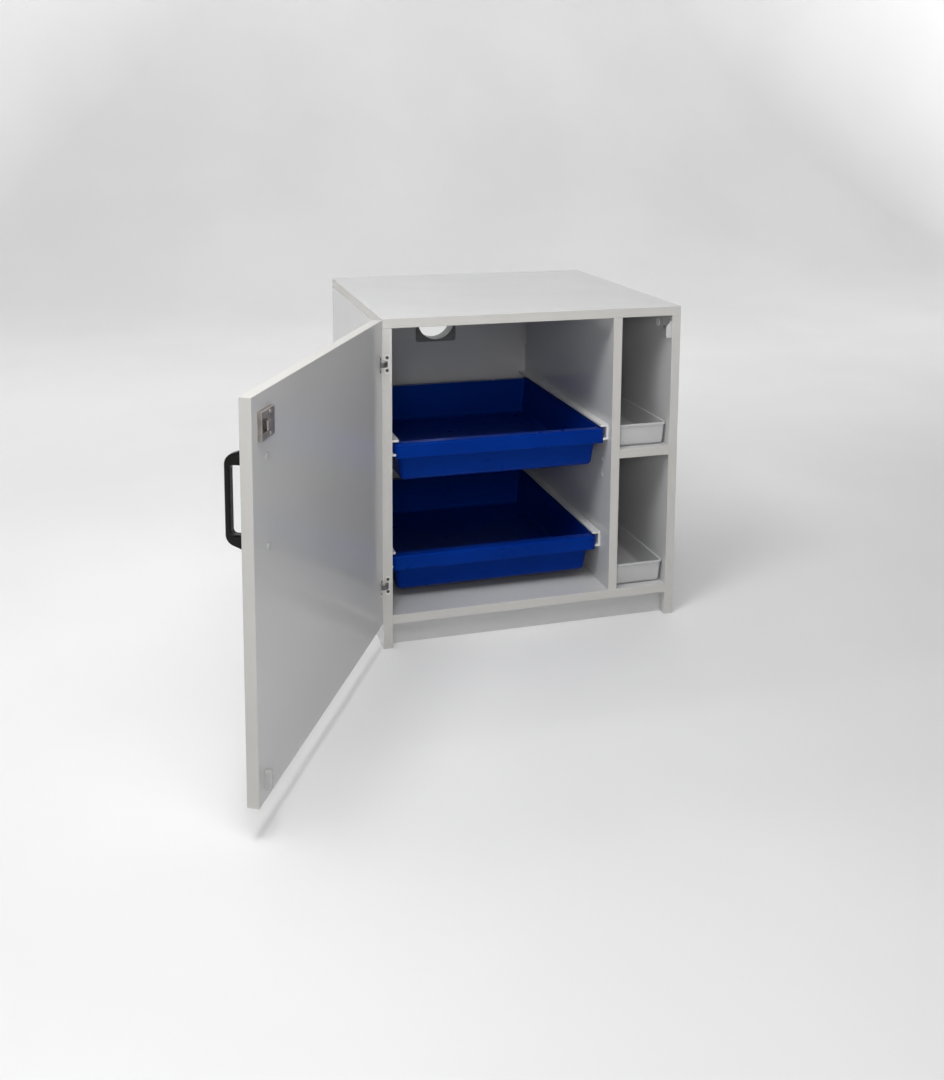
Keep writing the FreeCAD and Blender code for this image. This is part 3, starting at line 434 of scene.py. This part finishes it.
def door_bands():
    """Rounded bands round the door, built on the closed door and swung with it."""
    core_low, core_high = node_box("door_panel", DOOR_TURN)
    low, high = node_box("door_edge_bands", DOOR_TURN)
    mesh = bmesh.new()
    add_band(mesh, low, Vector((core_low.x, high.y, high.z)), -X_AXIS)
    add_band(mesh, Vector((core_high.x, low.y, low.z)), high, X_AXIS)
    add_band(mesh, Vector((core_low.x, low.y, low.z)), Vector((core_high.x, high.y, core_low.z)), -Z_AXIS)
    add_band(mesh, Vector((core_low.x, low.y, core_high.z)), Vector((core_high.x, high.y, high.z)), Z_AXIS)
    bmesh.ops.transform(mesh, matrix=DOOR_TURN, verts=mesh.verts)
    new_piece("rounded", mesh, "door_edge_bands")


def softened(node, width):
    """A CAD node's own shape with its sharp edges rounded off."""
    mesh = bmesh.new()
    mesh.from_mesh(frame["nodes"][node].data)
    bmesh.ops.remove_doubles(mesh, verts=mesh.verts, dist=WELD)
    bmesh.ops.dissolve_limit(mesh, angle_limit=FLAT_ANGLE, verts=mesh.verts, edges=mesh.edges)
    sharp = [edge for edge in mesh.edges if edge.is_manifold and edge.calc_face_angle() > SHARP_ANGLE]
    bmesh.ops.bevel(mesh, geom=sharp, offset=width, segments=SOFT_SEGMENTS, profile=ROUND_PROFILE,
                    affect="EDGES", clamp_overlap=True)
    smooth(mesh)
    new_piece("softened", mesh, node).modifiers.new("even_normals", "WEIGHTED_NORMAL")


def lathe(profile):
    """Bmesh of a shape about +Z from (radius, height) rings; ends on the axis are closed.

    A ring's radius may be a function of the angle, and its height a function of the radius.
    """
    mesh = bmesh.new()
    rings = []
    for radius, height in profile:
        if radius == 0:
            rings.append([mesh.verts.new((0, 0, height))] * SMALL_SEGMENTS)
            continue
        ring = []
        for k in range(SMALL_SEGMENTS):
            angle = 2 * math.pi * k / SMALL_SEGMENTS
            r = radius(angle) if callable(radius) else radius
            z = height(r) if callable(height) else height
            ring.append(mesh.verts.new((r * math.cos(angle), r * math.sin(angle), z)))
        rings.append(ring)
    for lower, upper in zip(rings, rings[1:]):
        for k in range(SMALL_SEGMENTS):
            after = (k + 1) % SMALL_SEGMENTS
            face = list(dict.fromkeys([lower[k], lower[after], upper[after], upper[k]]))
            if len(face) > 2:
                mesh.faces.new(face)
    bmesh.ops.recalc_face_normals(mesh, faces=mesh.faces)
    smooth(mesh)
    return mesh


def domed_cap(radius, height, stem):
    """Low moulded cap with a rounded rim and a slightly domed face on z = 0, and its stem below."""
    rim = height * CAP_RIM
    stem_radius = radius * CAP_STEM
    profile = [(0, -stem), (stem_radius, -stem), (stem_radius, 0), (radius, 0)]
    for k in range(CAP_RIM_STEPS + 1):
        angle = math.pi / 2 * k / CAP_RIM_STEPS
        inset = rim * (1 - math.cos(angle))
        profile.append((radius - inset, height - rim + rim * math.sin(angle) * CAP_RIM_RISE))
    profile.append((radius * CAP_FACE, height * CAP_FACE_RISE))
    profile.append((0, height))
    return lathe(profile)


def cross_outline(radius):
    """Outline of the cross recess in a head of this radius: the distance from the axis at an angle."""
    def distance(angle):
        along, across = sorted((abs(math.cos(angle)), abs(math.sin(angle))), reverse=True)
        return radius * min(RECESS_REACH / along, RECESS_HALF_WIDTH / max(across, LEAST_ACROSS))
    return distance


def screw(radius, shank, length, head, raised):
    """Screw with its head's top at z = 0 and its shank downwards; raised heads are domed."""
    crown = head * CROWN if raised else 0.0
    recess = min(head * RECESS_DEPTH, radius * RECESS_DEPTH_LIMIT)
    mouth = cross_outline(radius)

    def top(r):
        return -crown * (r / radius) ** CROWN_POWER

    profile = [(0, -recess), (lambda angle: RECESS_TAPER * mouth(angle), -recess), (mouth, top)]
    profile += [(radius * share, top) for share in HEAD_RINGS]
    if raised:
        profile.append((radius, -head))
    profile += [(shank, -head), (shank, -length), (0, -length)]
    return lathe(profile)


def looking(direction):
    """For a group of small parts that all look the same way."""
    return lambda place: direction


def into_left_bay(place):
    """Direction from a wall of the left bay to its middle."""
    return X_AXIS if place.x < LEFT_BAY_MIDDLE else -X_AXIS


def into_cabinet(place):
    """Direction from a side of the cabinet to its middle."""
    return X_AXIS if place.x < 0 else -X_AXIS


def outer_end(low, high, outward):
    """Outer end, radius and length of a small turned part that fills a box."""
    axis = main_axis(outward)
    across = (axis + 1) % 3
    end = (low + high) / 2
    end[axis] = high[axis] if outward[axis] > 0 else low[axis]
    return end, (high[across] - low[across]) / 2, high[axis] - low[axis]


def facing(direction, place):
    """Matrix that takes +Z to direction and the origin to place."""
    turn = Z_AXIS.rotation_difference(Vector(direction)).to_matrix().to_4x4()
    return Matrix.Translation(place) @ turn


def place_turned(mesh, made, matrix):
    """Put the turned part into mesh, with its sharp edges marked, and free it."""
    bmesh.ops.transform(made, matrix=matrix, verts=made.verts)
    data = bpy.data.meshes.new("turned")
    made.to_mesh(data)
    made.free()
    data.set_sharp_from_angle(angle=SHARP_ANGLE)
    mesh.from_mesh(data)
    bpy.data.meshes.remove(data)


def screws(node, outward_at, head, raised=False, shank_share=PLAIN_SHANK, turn=AT_REST):
    """Detailed screws in place of a CAD node's plain ones; outward_at gives the way that a head looks."""
    mesh = bmesh.new()
    for low, high in islands(node, turn):
        outward = outward_at((low + high) / 2)
        end, radius, length = outer_end(low, high, outward)
        made = screw(radius, radius * shank_share, length, head, raised)
        place_turned(mesh, made, turn @ facing(outward, end))
    new_piece("detailed", mesh, node)


def caps(node, outward_at, height, turn=AT_REST):
    """Domed caps in place of a CAD node's plain ones; what is longer than height is a stem in the board."""
    mesh = bmesh.new()
    for low, high in islands(node, turn):
        outward = outward_at((low + high) / 2)
        end, radius, length = outer_end(low, high, outward)
        made = domed_cap(radius, height, max(length - height, LEAST_STEM))
        place_turned(mesh, made, turn @ facing(outward, end - outward * height))
    new_piece("domed", mesh, node)


def small_parts():
    """The screws, caps and plugs that show."""
    screws("carcass_hinge_screws", looking(-Y_AXIS), head=1.6 * MM)
    screws("door_hinge_screws", looking(Y_AXIS), head=1.6 * MM, turn=DOOR_TURN)
    screws("runner_screws", into_left_bay, head=2.0 * MM)
    screws("duct_screws", looking(-Y_AXIS), head=2.0 * MM)
    screws("strike_screws", looking(-X_AXIS), head=1.6 * MM, raised=True, shank_share=0.57)
    screws("lock_case_screws", looking(Y_AXIS), head=1.4 * MM, raised=True, shank_share=0.54, turn=DOOR_TURN)
    screws("run_up_screw", looking(Y_AXIS), head=1.6 * MM, turn=DOOR_TURN)
    caps("cam_covers", into_cabinet, height=1.4 * MM)
    caps("handle_screw_caps", looking(Y_AXIS), height=2.4 * MM, turn=DOOR_TURN)
    caps("partition_plugs", looking(-X_AXIS), height=1.2 * MM)


def camera():
    data = bpy.data.cameras.new("photo_camera")
    data.sensor_width = SENSOR
    data.lens = FOCAL_PX / PHOTO_HEIGHT * SENSOR
    data.shift_y = (OPTICAL_CENTRE_Y_PX - PHOTO_HEIGHT / 2) / PHOTO_HEIGHT
    level = Matrix.Rotation(-CAMERA_YAW, 4, "Z") @ Matrix.Rotation(math.pi / 2 - CAMERA_PITCH, 4, "X")
    item = bpy.data.objects.new("photo_camera", data)
    item.matrix_world = Matrix.Translation(CAMERA_PLACE) @ level @ Matrix.Rotation(CAMERA_ROLL, 4, "Z")
    bpy.context.scene.collection.objects.link(item)
    bpy.context.scene.camera = item


def surround():
    """Pale room behind the floor. It is only seen, and the softboxes and the floor give the light."""
    scene = bpy.context.scene
    scene.view_settings.view_transform = "Standard"
    scene.world = bpy.data.worlds.new("room")
    scene.world.use_nodes = True
    background = scene.world.node_tree.nodes["Background"]
    background.inputs["Color"].default_value = SURROUND_COLOUR
    background.inputs["Strength"].default_value = SURROUND_STRENGTH
    scene.world.cycles_visibility.diffuse = False
    scene.world.cycles_visibility.glossy = False


def floor_sweep():
    """Floor that bends up into a wall behind the cabinet."""
    profile = [(-FLOOR_REACH, 0.0), (SWEEP_START, 0.0)]
    for k in range(1, SWEEP_STEPS + 1):
        angle = math.pi / 2 * k / SWEEP_STEPS
        profile.append((SWEEP_START + SWEEP_RADIUS * math.sin(angle), SWEEP_RADIUS * (1 - math.cos(angle))))
    profile.append((SWEEP_START + SWEEP_RADIUS, WALL_TOP))
    mesh = bmesh.new()
    rows = [[mesh.verts.new((x, y, z)) for x in (-FLOOR_REACH, FLOOR_REACH)] for y, z in profile]
    for near, far in zip(rows, rows[1:]):
        mesh.faces.new((near[0], near[1], far[1], far[0]))
    smooth(mesh)
    data = bpy.data.meshes.new("floor_sweep")
    mesh.to_mesh(data)
    mesh.free()
    floor = bpy.data.objects.new("floor_sweep", data)
    floor.data.materials.append(pale_floor("pale_floor"))
    bpy.context.scene.collection.objects.link(floor)


def softbox(name, place, target, size, power):
    data = bpy.data.lights.new(name, "AREA")
    data.shape = "RECTANGLE"
    data.size, data.size_y = size
    data.energy = power
    item = bpy.data.objects.new(name, data)
    aim = (Vector(target) - Vector(place)).to_track_quat("-Z", "Y")
    item.matrix_world = Matrix.Translation(place) @ aim.to_matrix().to_4x4()
    bpy.context.scene.collection.objects.link(item)


def lights():
    """Soft light from the front, from above the door and from the left, and on the wall and floor behind."""
    softbox("front_high", place=(-0.2, -1.9, 2.9), target=(0.0, 0.0, 0.4), size=(2.0, 1.2), power=31.0)
    softbox("front_low", place=(-0.3, -3.4, 1.0), target=(0.0, 0.0, 0.4), size=(2.4, 1.0), power=9.0)
    softbox("front_fill", place=(-0.75, -2.3, 1.25), target=(0.0, 0.2, 0.4), size=(0.5, 0.4), power=8.5)
    softbox("over_door", place=(-0.8, -0.7, 1.9), target=(-0.45, -0.3, 0.6), size=(0.6, 0.6), power=17.0)
    softbox("left", place=(-2.9, 0.5, 1.7), target=(-0.3, 0.2, 0.4), size=(1.6, 1.6), power=13.5)
    softbox("backdrop", place=(2.0, 1.6, 3.6), target=(2.0, 4.8, 0.9), size=(12.0, 1.0), power=136.0)
    softbox("rear_floor", place=(2.4, 1.9, 2.4), target=(2.4, 3.0, 0.0), size=(10.0, 0.6), power=27.0)


for node, item in frame["nodes"].items():
    item.data.materials.clear()
    item.data.materials.append(material_of(node))
front_bands()
door_bands()
small_parts()
for node, width in SOFT_EDGES.items():
    softened(node, width)
camera()
surround()
floor_sweep()
lights()
